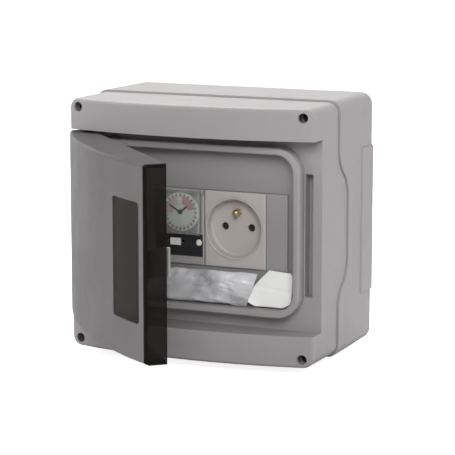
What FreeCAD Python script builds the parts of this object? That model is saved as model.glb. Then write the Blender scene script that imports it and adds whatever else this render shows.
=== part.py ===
import FreeCAD, Part
import math
import os
import re

import Sketcher

# Row frame: the origin is the middle of the wall face, +X is right seen from the front,
# +Y points into the wall and +Z is up. Depths are distances from the wall, so y = -depth.
SIZES = {
    # enclosure
    "half_wide": 88.0, "half_tall": 84.5, "front_depth": 118.0, "front_radius": 340.0,
    "corner_radius": 7.0, "front_edge_radius": 2.5, "skin": 3.0,
    "seam_depth": 64.0, "seam_bulge": 17.0, "bulge_half": 20.0, "bulge_end": 54.0, "seam_gap": 0.5,
    "base_proud": 1.5, "base_taper": 0.5, "base_corner": 8.0, "rear_radius": 4.5, "base_reach": 84.0,
    "side_pad_half": 50.0, "side_pad_proud": 2.8, "side_pad_depth": 24.0,
    # recess, window and latch slot in the cover
    "recess_half": 63.5, "floor_depth": 92.0, "floor_skin": 2.5,
    "trough_edge": 78.5, "trough_depth": 86.5,
    "window_half_wide": 71.1, "window_half_tall": 51.5, "window_z": 1.5, "window_radius": 12.0,
    "collar_width": 4.6, "collar_depth": 102.0, "collar_radius": 16.0,
    "slot_left": 76.2, "slot_right": 81.6, "slot_half": 40.5, "slot_depth": 84.0,
    # cover screws
    "screw_x": 80.8, "screw_z": 78.75, "screw_recess": 3.2, "screw_seat": 98.0, "screw_head": 2.9,
    "screw_shank": 2.0, "screw_tip": 46.0, "pillar": 5.0, "pillar_depth": 62.5,
    # wall fixing and cable entries
    "wall_hole": 2.75, "wall_hole_x": 68.0, "wall_hole_z": 56.0, "wall_boss": 6.0, "wall_boss_depth": 7.0,
    "entry_pitch": 45.0, "entry_depth": 30.0, "entry_hole": 8.0, "grommet_bore": 5.0,
    # rail
    "rail_half_long": 70.0, "rail_depth": 33.0, "rail_height": 7.5, "rail_half": 17.5,
    "rail_web_half": 12.5, "rail_sheet": 1.0, "post_x": 62.0, "post_radius": 5.0,
    # modules on the rail
    "nose_depth": 91.0, "nose_half": 25.5, "shoulder_depth": 77.0, "module_half": 42.5,
    "module_back": 29.0, "terminal_z": 34.0, "terminal_depth": 66.0, "terminal_hole": 2.2,
    "timer_left": -31.9, "timer_right": 3.5, "socket_left": 3.9, "socket_right": 47.9,
    # mask
    "mask_back": 87.45, "mask_skin": 2.0, "mask_half_wide": 74.0, "mask_half_tall": 56.0,
    "mask_slot_half": 63.5, "mask_slot_tall": 25.8, "mask_screw_x": 71.1, "mask_screw_z": 47.5,
    # time switch
    "dial_x": -13.3, "dial_z": 9.9, "dial_radius": 13.2, "dial_front": 92.2, "tappet_pitch": 11.6,
    "panel_top": -4.8, "panel_low": -19.5, "panel_front": 92.2, "panel_margin": 0.9,
    "selector_x": -16.5, "selector_z": -10.0, "selector_travel": 4.0, "selector_half": 3.8,
    "indicator_x": 0.2, "indicator_radius": 2.1,
    "flap_front": 96.2, "flap_low": -4.5, "flap_top": 24.8, "flap_axis_depth": 92.2, "flap_axis_z": 23.9,
    "flap_margin": 1.5,
    # socket outlet
    "well_x": 25.2, "well_z": 1.0, "well_radius": 19.4, "well_outer": 20.5, "well_front": 91.6,
    "well_floor": 83.8, "well_seat": 76.0, "contact_pitch": 19.0, "contact_hole": 2.6,
    "earth_rise": 10.0, "earth_radius": 2.4, "earth_tip": 90.5, "contact_back": 54.0, "cavity_back": 58.0,
    # terminal block and wires
    "block_half": 30.0, "block_low": -72.0, "block_top": -60.0, "block_depth": 19.0, "block_wire": 11.0,
    "wire_radius": 1.2, "wire_bend": 4.0,
    # door, drawn closed and then swung open
    "door_left": -87.5, "door_right": 88.5, "door_half": 61.5, "door_skin": 2.5, "door_back": 93.0,
    "door_edge_radius": 2.2, "rib_width": 3.0, "rib_back": 103.6, "seal_width": 1.6, "seal_back": 102.1,
    "strip_left": 85.5, "pane_left": 45.0, "pane_right": 80.5, "pane_half": 37.5, "pane_flange": 2.5,
    "hinge_x": -81.5, "hinge_depth": 97.5, "knuckle": 4.5, "knuckle_low": 53.0, "hinge_pin": 1.5,
    "door_angle": 47.0, "catch_x": 79.5, "catch_half": 9.0,
    # clear pouch and leaflet, standing side by side on the window ledge
    "pouch_left": -42.0, "pouch_right": 34.5, "pouch_low": -49.8, "pouch_top": -26.0, "pouch_front": 99.5,
    "sheet_left": 36.0, "sheet_right": 66.0, "sheet_low": -47.4, "sheet_top": -24.5, "sheet_front": 93.4,
    "leaflet_back": 91.8,
    # fits
    "running": 0.05, "loose": 0.1,
}

PLACES = {
    "corners": [(1, 1), (-1, 1), (-1, -1), (1, -1)],
    "timer_terminals": ["-25", "-3"],
    "socket_terminals": ["11", "26", "41"],
    "block_poles": ["-23", "-8", "7", "22"],
}

document = FreeCAD.newDocument("irrigation_controller")
sheet = document.addObject("Spreadsheet::Sheet", "sizes")
for row, (alias, number) in enumerate(SIZES.items(), start=1):
    sheet.set(f"A{row}", alias)
    sheet.set(f"B{row}", str(number))
    sheet.setAlias(f"B{row}", alias)
document.recompute()

nodes = []


def formula(text):
    """Turn the alias words of a formula into references to the sizes sheet."""
    return re.sub(r"[a-z][a-z_]*", lambda word: ("sizes." if word[0] in SIZES else "") + word[0], str(text))


def value(text):
    """The number that a formula gives now."""
    return float(sheet.evalExpression(formula(text)))


def bind(thing, **properties):
    """Bind properties to formulas; a double underscore stands for a dot."""
    for name, text in properties.items():
        thing.setExpression(name.replace("__", "."), formula(text))
    return thing


def node(thing, label):
    """Keep a finished sub-part under its own name."""
    thing.Label = label
    nodes.append(thing)
    return thing


# ---------------------------------------------------------------- primitives and booleans

def box(x, y, z):
    """A block between two x, two y and two z formulas."""
    block = document.addObject("Part::Box", "block")
    (x_low, x_high), (y_low, y_high), (z_low, z_high) = x, y, z
    bind(block, Placement__Base__x=x_low, Placement__Base__y=y_low, Placement__Base__z=z_low)
    return bind(block, Length=f"({x_high}) - ({x_low})", Width=f"({y_high}) - ({y_low})",
                Height=f"({z_high}) - ({z_low})")


AXIS_TURNS = {
    "x": FreeCAD.Rotation(FreeCAD.Vector(0, 1, 0), 90),
    "y": FreeCAD.Rotation(FreeCAD.Vector(1, 0, 0), -90),
    "z": FreeCAD.Rotation(),
}


def rod(axis, radius, start, length, shape="Part::Cylinder"):
    """A round bar from a start point along an axis."""
    bar = document.addObject(shape, "bar")
    bar.Placement = FreeCAD.Placement(FreeCAD.Vector(), AXIS_TURNS[axis])
    bind(bar, Placement__Base__x=start[0], Placement__Base__y=start[1], Placement__Base__z=start[2])
    return bind(bar, Radius=radius, Height=length)


def y_rod(radius, x, z, front, back):
    """A round bar along Y between two depths, the front one being the larger."""
    return rod("y", radius, (x, f"-({front})", z), f"({front}) - ({back})")


def join(parts):
    """One solid from several that touch."""
    if len(parts) == 1:
        return parts[0]
    fusion = document.addObject("Part::MultiFuse", "join")
    fusion.Shapes = parts
    fusion.Refine = True
    return fusion


def cut(base, *tools):
    """The base with the tools taken away one after another."""
    for tool in tools:
        result = document.addObject("Part::Cut", "cut")
        result.Base = base
        result.Tool = tool
        base = result
    return base


def common(base, tool):
    """What two shapes share."""
    result = document.addObject("Part::Common", "common")
    result.Base = base
    result.Tool = tool
    return result


def group(parts):
    """Separate solids that share one node."""
    compound = document.addObject("Part::Compound", "group")
    compound.Links = parts
    return compound


def rounded(base, radius, wanted):
    """The base with a radius on every edge that passes the test."""
    document.recompute()
    result = document.addObject("Part::Fillet", "rounded")
    result.Base = base
    size = value(radius)
    result.Edges = [(index, size, size) for index, edge in enumerate(base.Shape.Edges, start=1)
                    if wanted(edge)]
    return result


def runs_along(axis, length=0.5):
    """A test for straight edges along an axis."""
    def test(edge):
        ends = edge.BoundBox
        spans = {"x": ends.XLength, "y": ends.YLength, "z": ends.ZLength}
        others = [spans[name] for name in spans if name != axis]
        return spans[axis] > length and max(others) < 1e-3
    return test


def block_with_round_corners(x, y, z, axis, radius):
    """A block whose four edges along one axis are rounded."""
    return rounded(box(x, y, z), radius, runs_along(axis))


# ---------------------------------------------------------------- bodies drawn with sketches

def new_body(name):
    return document.addObject("PartDesign::Body", name)


def new_sketch(body, plane, lift="0"):
    """A sketch on one of the body's own planes, lifted along its normal."""
    sketch = body.newObject("Sketcher::SketchObject", body.Name + "_sketch")
    sketch.AttachmentSupport = [(next(f for f in body.Origin.OriginFeatures if f.Role == plane), "")]
    sketch.MapMode = "FlatFace"
    return bind(sketch, AttachmentOffset__Base__z=lift)


def hold(sketch, kind, geometry, point, text):
    """Hold one coordinate of a point at a formula's distance from the origin."""
    index = sketch.addConstraint(Sketcher.Constraint(kind, -1, 1, geometry, point, value(text)))
    sketch.setExpression(f"Constraints[{index}]", formula(text))


def draw_outline(sketch, points):
    """A closed outline with straight sides through points given as formulas."""
    spots = [FreeCAD.Vector(value(across), value(up), 0) for across, up in points]
    first = sketch.GeometryCount
    count = len(spots)
    for index in range(count):
        sketch.addGeometry(Part.LineSegment(spots[index], spots[(index + 1) % count]), False)
    for index, (across, up) in enumerate(points):
        following = first + (index + 1) % count
        sketch.addConstraint(Sketcher.Constraint("Coincident", first + index, 2, following, 1))
        hold(sketch, "DistanceX", first + index, 1, across)
        hold(sketch, "DistanceY", first + index, 1, up)


def draw_rectangle(sketch, left, right, low, high):
    draw_outline(sketch, [(left, low), (right, low), (right, high), (left, high)])


def draw_circle(sketch, across, up, radius):
    centre = FreeCAD.Vector(value(across), value(up), 0)
    index = sketch.addGeometry(Part.Circle(centre, FreeCAD.Vector(0, 0, 1), value(radius)), False)
    hold(sketch, "DistanceX", index, 3, across)
    hold(sketch, "DistanceY", index, 3, up)
    size = sketch.addConstraint(Sketcher.Constraint("Radius", index, value(radius)))
    sketch.setExpression(f"Constraints[{size}]", formula(radius))


def pad(body, sketch, length, midplane=False, reverse=False):
    feature = body.newObject("PartDesign::Pad", body.Name + "_pad")
    feature.Profile = sketch
    feature.Midplane = midplane
    feature.Reversed = reverse
    return bind(feature, Length=length)


def pocket(body, sketch, length, midplane=False, reverse=False):
    """Cut a pocket, and stop if it took nothing away."""
    document.recompute()
    before = body.Shape.Volume
    feature = body.newObject("PartDesign::Pocket", body.Name + "_pocket")
    feature.Profile = sketch
    feature.Midplane = midplane
    feature.Reversed = reverse
    bind(feature, Length=length)
    document.recompute()
    if body.Shape.Volume > before - 1e-6:
        raise RuntimeError(f"a pocket in {body.Name} cuts nothing")
    return feature


def revolve(body, plane, points):
    """Turn an outline of (radius, distance) points about the plane's upright axis."""
    sketch = new_sketch(body, plane)
    draw_outline(sketch, points)
    feature = body.newObject("PartDesign::Revolution", body.Name + "_revolution")
    feature.Profile = sketch
    feature.ReferenceAxis = (sketch, ["V_Axis"])
    feature.Angle = 360
    return feature


def loft(body, sections):
    """Blend rectangles of given half sizes at given depths."""
    sketches = []
    for half_x, half_z, depth in sections:
        sketch = new_sketch(body, "XZ_Plane", depth)
        draw_rectangle(sketch, f"-({half_x})", half_x, f"-({half_z})", half_z)
        sketches.append(sketch)
    feature = body.newObject("PartDesign::AdditiveLoft", body.Name + "_loft")
    feature.Profile = sketches[0]
    feature.Sections = sketches[1:]
    feature.Ruled = True
    return feature


def round_edges(body, radius, wanted):
    """A fillet on the edges of the body so far that pass the test."""
    document.recompute()
    tip = body.Tip
    names = [f"Edge{index}" for index, edge in enumerate(tip.Shape.Edges, start=1) if wanted(edge)]
    feature = body.newObject("PartDesign::Fillet", body.Name + "_fillet")
    feature.Base = (tip, names)
    return bind(feature, Radius=radius)


def polar(body, original, sketch, count):
    """Repeat a feature around the sketch's normal."""
    pattern = body.newObject("PartDesign::PolarPattern", body.Name + "_pattern")
    pattern.Originals = [original]
    pattern.Axis = (sketch, ["N_Axis"])
    pattern.Angle = 360
    pattern.Occurrences = count
    body.Tip = pattern
    return pattern


def copies(source, places):
    """Linked copies of one body, each moved to a place given as formulas."""
    links = []
    for x, y, z in places:
        link = document.addObject("App::Link", source.Name + "_copy")
        link.LinkedObject = source
        bind(link, LinkPlacement__Base__x=x, LinkPlacement__Base__y=y, LinkPlacement__Base__z=z)
        links.append(link)
    return group(links)


def place(body, x, y, z):
    return bind(body, Placement__Base__x=x, Placement__Base__y=y, Placement__Base__z=z)


def at_corners(x, y, z):
    """The four mirrored places of one point, as formulas."""
    return [(f"{across} * {x}", y, f"{up} * {z}") for across, up in PLACES["corners"]]


def both(shape_at):
    """A shape made on both sides."""
    return [shape_at(-1), shape_at(1)]


def screw(name, head, head_length, shank, length, slot_depth="0.8"):
    """A slotted screw with its head towards the front and its seat at y = 0."""
    body = new_body(name)
    revolve(body, "XY_Plane", [
        ("0", f"-({head_length})"), (f"{head} - 0.4", f"-({head_length})"),
        (head, f"0.4 - ({head_length})"), (head, "0"), (shank, "0"), (shank, f"({length}) - 1"),
        ("0.5", length), ("0", length)])
    slot = new_sketch(body, "XZ_Plane", head_length)
    draw_rectangle(slot, f"-({head}) * 0.85", f"({head}) * 0.85", f"-({head}) * 0.14", f"({head}) * 0.14")
    pocket(body, slot, slot_depth)
    return body


def window_block(grow, y, radius):
    """A rounded block centred on the window and larger than it by a margin on every side."""
    return block_with_round_corners(
        (f"-window_half_wide - ({grow})", f"window_half_wide + {grow}"), y,
        (f"window_z - window_half_tall - ({grow})", f"window_z + window_half_tall + {grow}"), "y", radius)


def rim_ring(width, y):
    """A frame of a given width along the middle line of the collar's rim."""
    near, far = f"(collar_width - ({width})) / 2", f"(collar_width + {width}) / 2"
    front, back = y
    return cut(window_block(far, y, f"window_radius + {far}"),
               window_block(near, (f"({front}) - 1", f"({back}) + 1"), f"window_radius + {near}"))


# ---------------------------------------------------------------- enclosure

def seam_region(shift):
    """Everything in front of the seam, whose side-wall stretch swings back in two smooth steps."""
    flat = -value("seam_depth") + shift
    bulge = flat + value("seam_bulge")
    start, end = value("bulge_end"), value("bulge_half")
    rise, run = bulge - flat, start - end
    radius = (rise ** 2 + run ** 2) / (4 * rise)
    quarter = math.atan(rise / run)
    across, along = radius * (1 - math.cos(quarter)), radius * math.sin(quarter)
    far, top = -2 * value("front_depth"), 2 * value("half_tall")
    middle = (flat + bulge) / 2

    def spot(y, z):
        return FreeCAD.Vector(0, y, z)

    def step(sign):
        waist = (start + end) / 2
        outer = Part.Arc(spot(flat, sign * start), spot(flat + across, sign * (start - along)),
                         spot(middle, sign * waist))
        inner = Part.Arc(spot(middle, sign * waist), spot(bulge - across, sign * (end + along)),
                         spot(bulge, sign * end))
        return [outer.toShape(), inner.toShape()]

    edges = [
        Part.makeLine(spot(far, -top), spot(far, top)),
        Part.makeLine(spot(far, top), spot(flat, top)),
        Part.makeLine(spot(flat, top), spot(flat, start)),
        *step(1),
        Part.makeLine(spot(bulge, end), spot(bulge, -end)),
        *step(-1),
        Part.makeLine(spot(flat, -start), spot(flat, -top)),
        Part.makeLine(spot(flat, -top), spot(far, -top)),
    ]
    outline = Part.Wire(Part.__sortEdges__(edges))
    reach = 2 * value("half_wide")
    solid = Part.Face(outline).extrude(FreeCAD.Vector(2 * reach, 0, 0))
    region = document.addObject("Part::Feature", "seam_region")
    region.Shape = solid
    region.Placement = FreeCAD.Placement(FreeCAD.Vector(-reach, 0, 0), FreeCAD.Rotation())
    return region


def base_block(name, inset, reach):
    """The tapered outline of the rear shell, drawn in on every side by an inset."""
    body = new_body(name)
    widen = "base_taper * base_reach / seam_depth - base_taper + base_proud"
    rear = "base_proud - base_taper"
    loft(body, [(f"half_wide + {rear} - {inset}", f"half_tall + {rear} - {inset}", inset),
                (f"half_wide + {widen} - {inset}", f"half_tall + {widen} - {inset}", reach)])
    round_edges(body, f"base_corner - {inset}", lambda edge: edge.BoundBox.YLength > 50)
    round_edges(body, f"rear_radius - {inset}", lambda edge: edge.BoundBox.YMin > -value(inset) - 0.01)
    return body


def make_base():
    """Rear shell with pillars, rail posts, wall bosses, cable entries and side pads."""
    opened = cut(base_block("base_body", "0", "base_reach"),
                 base_block("base_chamber", "skin", "base_reach + 1"), seam_region(0))
    additions = [y_rod("pillar + 0.8", x, z, "pillar_depth", "1")
                 for x, _, z in at_corners("screw_x", "0", "screw_z")]
    additions += [y_rod("wall_boss", x, z, "wall_boss_depth", "1")
                  for x, _, z in at_corners("wall_hole_x", "0", "wall_hole_z")]
    post_front = "rail_depth - rail_height"
    additions += both(lambda side: y_rod("post_radius", f"{side} * post_x", "0", post_front, "1"))
    pad_outer = "half_wide + base_proud - base_taper + side_pad_proud - 1.4"
    pads = both(lambda side: rounded(box(sorted_span(side, "half_wide - 4", pad_outer),
                                         ("-side_pad_depth", "-3"), ("-side_pad_half", "side_pad_half")),
                                     "1.2", lambda edge: on_outer_side(edge, side, value(pad_outer))))
    holes = [y_rod("wall_hole", x, z, "wall_boss_depth + 1", "-1")
             for x, _, z in at_corners("wall_hole_x", "0", "wall_hole_z")]
    holes += [y_rod("screw_shank + running", x, z, "pillar_depth + 1", "screw_tip - 2")
              for x, _, z in at_corners("screw_x", "0", "screw_z")]
    holes += both(lambda side: y_rod("1.95 + running", f"{side} * post_x", "0", f"{post_front} + 1", "10"))
    holes += [rod("z", "entry_hole", (f"{step} * entry_pitch", "-entry_depth", "-half_tall - 5"), "12")
              for step in (-1, 0, 1)]
    inner_parts = common(join(additions), base_block("base_core", "1", "base_reach"))
    node(cut(join([opened, inner_parts, *pads]), *holes), "base_shell")


def sorted_span(side, near, far):
    """An x span on the left or right side, low end first."""
    return (f"-({far})", f"-({near})") if side < 0 else (near, far)


def on_outer_side(edge, side, reach):
    ends = edge.BoundBox
    place_x = ends.XMin if side < 0 else ends.XMax
    return abs(place_x - side * reach) < 1e-3 and ends.XLength < 1e-3


def crown(radius, tall):
    """The cylinder that the convex front belongs to."""
    return rod("z", radius, ("0", "front_radius - front_depth", f"-({tall})"), f"2 * ({tall})")


def make_cover():
    """Front shell: two bands, a recess between them, the window collar and the latch slot."""
    all_x = ("-half_wide", "half_wide")
    block = block_with_round_corners(all_x, ("-front_depth - 5", "-30"), ("-half_tall", "half_tall"), "y",
                                     "corner_radius")
    curved = common(block, crown("front_radius", "half_tall + 5"))

    def on_front_edge(edge):
        ends = edge.BoundBox
        return ends.YMax < -value("floor_depth") and (ends.XLength > 1 or ends.ZLength > 1)

    shell = rounded(curved, "front_edge_radius", on_front_edge)
    shell = common(shell, seam_region(-value("seam_gap")))
    inner_x = ("-half_wide + skin", "half_wide - skin")
    inner_back = "-(floor_depth - floor_skin)"
    chamber = block_with_round_corners(inner_x, (inner_back, "0"),
                                       ("-half_tall + skin", "half_tall - skin"), "y",
                                       "corner_radius - skin")
    bands = []
    for low, high in (("recess_half + skin", "half_tall - skin"),
                      ("-half_tall + skin", "-recess_half - skin")):
        bands.append(common(box(inner_x, ("-front_depth", f"{inner_back} + 1"), (low, high)),
                            crown("front_radius - skin", "half_tall")))
    recess = box(("-half_wide - 5", "half_wide + 5"), ("-front_depth - 9", "-floor_depth"),
                 ("-recess_half", "recess_half"))
    shell = cut(shell, chamber, *bands, recess)

    collar = cut(window_block("collar_width", ("-collar_depth", inner_back), "collar_radius"),
                 window_block("0", ("-collar_depth - 1", f"{inner_back} + 1"), "window_radius"))
    collar = rounded(collar, "1.4", lambda edge: edge.BoundBox.YMax < -value("collar_depth") + 0.01)
    trough = box(("-half_wide", "-trough_edge + floor_skin"),
                 ("-floor_depth", "-trough_depth + floor_skin"), ("-recess_half - 1", "recess_half + 1"))
    slot_case = box(("slot_left - 2", "slot_right + 2"), ("-floor_depth", "-slot_depth + 2"),
                    ("-slot_half - 2", "slot_half + 2"))
    tubes = [y_rod("pillar", x, z, "screw_seat + 2", "seam_depth + seam_gap")
             for x, _, z in at_corners("screw_x", "0", "screw_z")]
    tubes = common(join(tubes), box(all_x, ("-front_depth", "0"), ("-half_tall + 0.5", "half_tall - 0.5")))
    opened = cut(shell, window_block("0", ("-front_depth", "0"), "window_radius"))
    shell = join([opened, collar, trough, slot_case, tubes])

    cuts = [
        box(("-half_wide - 1", "-trough_edge"), ("-front_depth", "-trough_depth"),
            ("-recess_half", "recess_half")),
        box(("slot_left", "slot_right"), ("-front_depth", "-slot_depth"), ("-slot_half", "slot_half")),
    ]
    cuts += [y_rod("screw_recess", x, z, "front_depth", "screw_seat")
             for x, _, z in at_corners("screw_x", "0", "screw_z")]
    cuts += [y_rod("screw_shank + 0.3", x, z, "screw_seat + 1", "seam_depth - 2")
             for x, _, z in at_corners("screw_x", "0", "screw_z")]
    cuts += [y_rod("1.2 + running", x, z, "floor_depth + 6", "floor_depth - floor_skin - 1")
             for x, _, z in at_corners("mask_screw_x", "0", "mask_screw_z")]
    cuts += [rod("z", "hinge_pin + 0.02", ("hinge_x", "-hinge_depth", low), "7")
             for low in ("recess_half - 1", "-recess_half - 6")]
    node(cut(shell, *cuts), "cover_frame")


def make_gasket():
    """The ribbon in the wavy seam, set a little behind the outer faces."""
    layers = []
    for inset, y in (("0.4", ("-front_depth", "0")), ("2.2", ("-front_depth - 1", "1"))):
        layers.append(block_with_round_corners(
            (f"{inset} - half_wide", f"half_wide - {inset}"), y,
            (f"{inset} - half_tall", f"half_tall - {inset}"), "y", f"corner_radius - {inset}"))
    ring = cut(*layers)
    between = cut(seam_region(-value("running")), seam_region(value("running") - value("seam_gap")))
    node(common(ring, between), "cover_gasket")


def make_fasteners():
    cover_screw = screw("cover_screw", "screw_head", "3.2", "screw_shank", "screw_seat - screw_tip", "1.4")
    node(copies(cover_screw, at_corners("screw_x", "-screw_seat", "screw_z")), "cover_screws")
    mask_screw = new_body("mask_screw")
    revolve(mask_screw, "XY_Plane", [
        ("0", "1.8"), ("2.4", "1.8"), ("2.4", "0"), ("1.2", "0"), ("1.2", "-9"), ("0", "-9.5")])
    node(copies(mask_screw, at_corners("mask_screw_x", "-mask_back", "mask_screw_z")), "mask_screws")
    rail_screw = screw("rail_screw", "3.2", "1.9", "1.95", "12.5")
    seat = "-(rail_depth - rail_height + rail_sheet)"
    node(copies(rail_screw, [(f"{side} * post_x", seat, "0") for side in (-1, 1)]), "rail_screws")


def make_grommets():
    """Three rubber sleeves in the bottom wall, each with a groove for the wall."""
    grommet = new_body("grommet")
    revolve(grommet, "XZ_Plane", [
        ("grommet_bore", "-4.5"), ("9", "-4.5"), ("10.5", "-3.5"), ("10.5", "-1.2"),
        ("entry_hole - running", "-1.2"), ("entry_hole - running", "3.2"), ("9.6", "3.2"), ("8.6", "6"),
        ("grommet_bore", "6")])
    wall = "half_tall + base_proud - base_taper * (1 - entry_depth / seam_depth)"
    places = [(f"{step} * entry_pitch", "-entry_depth", f"0.4 - ({wall})") for step in (-1, 0, 1)]
    node(copies(grommet, places), "cable_grommets")


# ---------------------------------------------------------------- rail and mask

def make_rail():
    """A 35 mm top-hat rail."""
    rail = new_body("rail_body")
    profile = new_sketch(rail, "YZ_Plane")
    brim, web = "-rail_depth", "-(rail_depth - rail_height)"
    half = [(f"{brim}", "rail_half"), (f"{brim} + rail_sheet", "rail_half"),
            (f"{brim} + rail_sheet", "rail_web_half + rail_sheet"), (web, "rail_web_half + rail_sheet")]
    inner = [(brim, "rail_web_half"), (f"{web} - rail_sheet", "rail_web_half")]
    mirrored = [(y, f"-({z})") for y, z in reversed(half)]
    draw_outline(profile, [inner[1], inner[0], *half, *mirrored, (inner[0][0], f"-({inner[0][1]})"),
                           (inner[1][0], f"-({inner[1][1]})")])
    pad(rail, profile, "2 * rail_half_long", midplane=True)
    holes = new_sketch(rail, "XZ_Plane", "0")
    for side in (-1, 1):
        draw_circle(holes, f"{side} * post_x", "0", "2.2")
    pocket(rail, holes, "4 * rail_depth", midplane=True)
    node(rail, "din_rail")


def make_mask():
    """The plate around the modules, and the strips that close its free slot lengths."""
    front = "-mask_back - mask_skin"
    plate = block_with_round_corners(("-mask_half_wide", "mask_half_wide"), (front, "-mask_back"),
                                     ("-mask_half_tall", "mask_half_tall"), "y", "4")
    cuts = [box(("-mask_slot_half", "mask_slot_half"), (f"{front} - 1", "-mask_back + 1"),
                ("-mask_slot_tall", "mask_slot_tall"))]
    cuts += [y_rod("1.4", x, z, "mask_back + mask_skin + 1", "mask_back - 1")
             for x, _, z in at_corners("mask_screw_x", "0", "mask_screw_z")]
    cuts.append(box(("slot_left - 2.5", "mask_half_wide + 1"), (f"{front} - 1", "-mask_back + 1"),
                    ("-slot_half - 3", "slot_half + 3")))
    node(cut(plate, *cuts), "inner_mask")
    strips = []
    for left, right in (("-mask_slot_half + 0.1", "timer_left - 0.2"),
                        ("socket_right + 0.2", "mask_slot_half - 0.1")):
        tall = "mask_slot_tall - 0.1"
        face = rounded(box((left, right), ("-nose_depth", "-mask_back + 1"), (f"-({tall})", tall)), "0.8",
                       lambda edge: edge.BoundBox.YMax < -value("nose_depth") + 0.01)
        hollow = box((f"{left} + 1.5", f"{right} - 1.5"), ("-nose_depth + 1.5", "-mask_back + 2"),
                     (f"1.5 - ({tall})", f"{tall} - 1.5"))
        lips = [box((f"{left} + 2", f"{right} - 2"), ("-mask_back + 0.05", "-mask_back + 1"), span)
                for span in ((f"{tall} - 0.5", f"{tall} + 1.5"), (f"-({tall}) - 1.5", f"0.5 - ({tall})"))]
        strips.append(cut(join([face, *lips]), hollow))
    node(group(strips), "slot_blanks")


# ---------------------------------------------------------------- modules

def module_housing(name, left, right):
    """The stepped side profile of a rail module, with the fixed hook behind the upper rail edge."""
    body = new_body(name)
    profile = new_sketch(body, "YZ_Plane", left)
    hook = "-rail_depth + rail_sheet + 0.2"
    draw_outline(profile, [
        ("-nose_depth", "-nose_half"), ("-nose_depth", "nose_half"), ("-shoulder_depth", "nose_half"),
        ("-shoulder_depth", "module_half"), ("-module_back", "module_half"),
        ("-module_back", "rail_half - 2"), (hook, "rail_half - 2"), (hook, "rail_half + 0.3"),
        ("-rail_depth - 0.2", "rail_half + 0.3"), ("-rail_depth - 0.2", "-rail_half - 1"),
        ("-module_back", "-rail_half - 1"), ("-module_back", "-module_half"),
        ("-shoulder_depth", "-module_half"), ("-shoulder_depth", "-nose_half")])
    pad(body, profile, f"({right}) - ({left})")

    def on_nose_rim(edge):
        return edge.BoundBox.YMax < -value("nose_depth") + 0.01

    round_edges(body, "1", on_nose_rim)
    return body


def terminal_cuts(places):
    """For each terminal a wire hole from below and a screw hole from the front."""
    cuts = []
    for x in places:
        cuts.append(rod("z", "terminal_hole", (x, "-terminal_depth", "-module_half - 1"), "12"))
        cuts.append(y_rod("2.6", x, "-terminal_z", "shoulder_depth + 1", "terminal_depth"))
    return cuts


def clip_channel(x):
    return box((f"{x} - 5.1", f"{x} + 5.1"), ("-module_back - 3", "-module_back + 1"),
               ("-module_half - 1", "-rail_half - 0.8"))


def rail_clip(label, x):
    """The sliding foot that hooks behind the lower rail edge."""
    plate = box((f"{x} - 5", f"{x} + 5"), ("-module_back - 2.8", "-module_back - 0.2"),
                ("-module_half - 2", "-rail_half + 2"))
    slot = box((f"{x} - 2.5", f"{x} + 2.5"), ("-module_back - 4", "-module_back + 1"),
               ("-module_half - 0.5", "-module_half + 1.2"))
    node(cut(plate, slot), label)


def terminal_screws(label, places):
    single = screw(label + "_single", "2.4", "2", "1.5", "6.5", "0.7")
    spots = [(x, "-shoulder_depth + 3.2", "-terminal_z") for x in places]
    node(copies(single, spots), label)


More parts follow.
